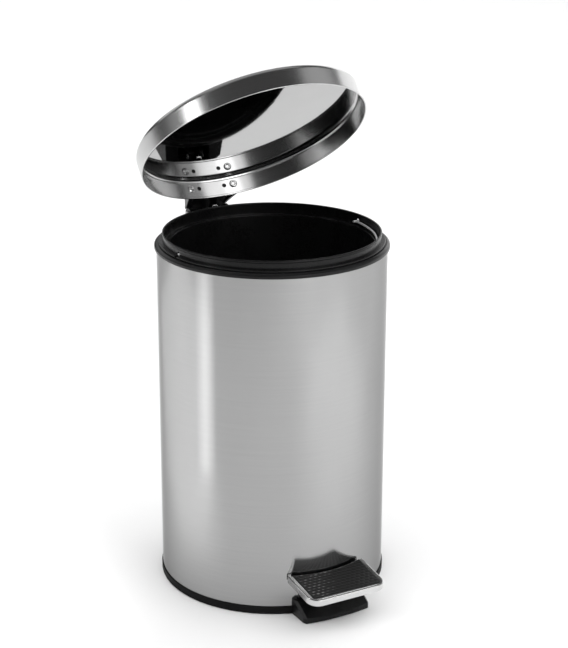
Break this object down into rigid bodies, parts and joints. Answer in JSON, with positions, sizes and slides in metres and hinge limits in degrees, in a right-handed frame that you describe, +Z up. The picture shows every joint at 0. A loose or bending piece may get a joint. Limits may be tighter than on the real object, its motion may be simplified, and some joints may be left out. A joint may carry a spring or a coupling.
{
  "type": "pedal trash can",
  "caption": "Round steel pedal bin with black base, collar, hinge and lift-out bucket; pressing the pedal lifts a rod that swings the lid open.",
  "frame": {"origin": "centre of the round base's underside, on the floor", "axes": "+Z up along the can's axis, -Y towards the pedal, +Y towards the lid hinge, +X to the right seen from the pedal"},
  "size_m": [0.255, 0.3362, 0.5802],
  "materials": {
    "satin_steel": "satin brushed stainless sheet",
    "lid_steel": "satin outside, mirror bright underside",
    "pedal_steel": "polished pressed stainless",
    "bright_steel": "bright turned steel",
    "zinc_steel": "zinc plated steel",
    "bright_wire": "drawn bright wire",
    "black_plastic": "black moulded polypropylene, fine grain",
    "bucket_plastic": "black moulded polypropylene",
    "natural_nylon": "natural nylon",
    "pad_rubber": "black rubber with small dimples"
  },
  "bodies": {
    "root": {"body_shell": "satin_steel", "base_dish": "black_plastic", "front_foot": "black_plastic", "foot_screws": "zinc_steel", "top_collar": "black_plastic", "hinge_base": "black_plastic", "hinge_screws": "zinc_steel", "hinge_pin": "bright_steel", "hinge_pin_clips": "zinc_steel", "rod_guides": "natural_nylon", "pivot_bushes": "natural_nylon"},
    "lid": {"lid_shell": "lid_steel", "lid_bracket": "black_plastic", "lid_rivets": "bright_steel"},
    "pedal": {"pedal_lever": "zinc_steel", "pedal_plate": "pedal_steel", "pedal_pad": "pad_rubber", "pedal_rivets": "zinc_steel", "pivot_pin": "bright_steel", "pivot_clips": "zinc_steel"},
    "rod": {"lift_rod": "zinc_steel", "lift_rod_end": "bright_steel", "lift_pin": "bright_steel", "lift_pin_clips": "zinc_steel", "rod_clip": "zinc_steel"},
    "bucket": {"inner_bucket": "bucket_plastic"},
    "bail": {"bucket_bail": "bright_wire"}
  },
  "joints": [
    {"name": "lid_hinge", "type": "hinge", "parent": "root", "child": "lid", "pos_m": [0, 0.155, 0.3795], "axis": [-1, 0, 0], "range_deg": [-39.7, 33]},
    {"name": "pedal_pivot", "type": "hinge", "parent": "root", "child": "pedal", "pos_m": [0, -0.015, 0.03], "axis": [1, 0, 0], "range_deg": [-5.81, 4.85]},
    {"name": "rod_slide", "type": "slide", "parent": "root", "child": "rod", "axis": [0, 0, 1], "range_m": [-0.0135, 0.0112]},
    {"name": "bucket_lift", "type": "slide", "parent": "root", "child": "bucket", "axis": [0, 0, 1], "range_m": [0, 0.005]},
    {"name": "bail_swing", "type": "hinge", "parent": "bucket", "child": "bail", "pos_m": [0, 0, 0.388], "axis": [-0.9945, -0.1045, 0], "range_deg": [0, 183]}
  ],
  "couplings": [
    {"joint": "pedal_pivot", "follows": "lid_hinge", "ratio": 0.14573},
    {"joint": "rod_slide", "follows": "lid_hinge", "m_per_rad": 0.019309}
  ]
}
